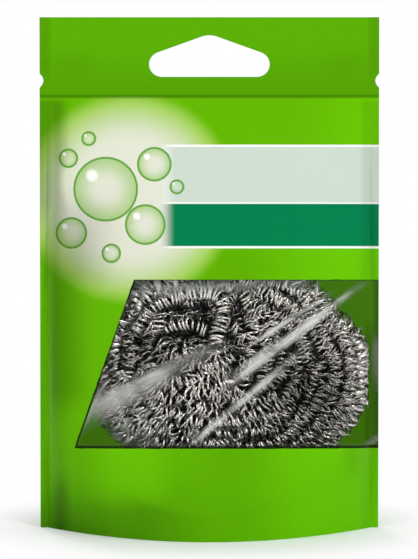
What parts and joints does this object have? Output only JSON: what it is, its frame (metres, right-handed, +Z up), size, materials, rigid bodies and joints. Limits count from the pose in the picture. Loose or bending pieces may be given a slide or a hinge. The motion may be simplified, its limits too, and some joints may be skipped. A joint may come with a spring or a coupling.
{
  "type": "pot scrubber in stand-up pouch",
  "caption": "Flattened ball of curled steel strands for scouring pots, lying loose in a welded stand-up film pouch with a clear window, tear notches and a hang hole.",
  "frame": {"origin": "on the floor, under the middle of the standing pouch", "axes": "+Z up, the pouch front with its window faces -Y, +X to the right as seen from the front"},
  "size_m": [0.09, 0.0416, 0.1376],
  "materials": {
    "printed_film": "glossy printed film",
    "clear_film": "clear glossy film",
    "steel_wire": "bright drawn wire",
    "inner_steel": "packed wire in shade"
  },
  "bodies": {
    "pouch": {"tear_off_header": "printed_film", "front_film": "printed_film", "window_film": "clear_film", "back_film": "printed_film", "bottom_gusset": "printed_film"},
    "scrubber": {"inner_coils": "inner_steel", "centre_tie": "steel_wire", "coil_strand_01": "steel_wire", "coil_strand_02": "steel_wire", "coil_strand_03": "steel_wire", "coil_strand_04": "steel_wire", "coil_strand_05": "steel_wire", "coil_strand_06": "steel_wire", "coil_strand_07": "steel_wire", "coil_strand_08": "steel_wire", "coil_strand_09": "steel_wire", "coil_strand_10": "steel_wire", "coil_strand_11": "steel_wire", "coil_strand_12": "steel_wire"}
  },
  "joints": [
    {"name": "scrubber_shift", "type": "slide", "parent": "pouch", "child": "scrubber", "axis": [1, 0, 0], "range_m": [-0.0106, 0]}
  ]
}
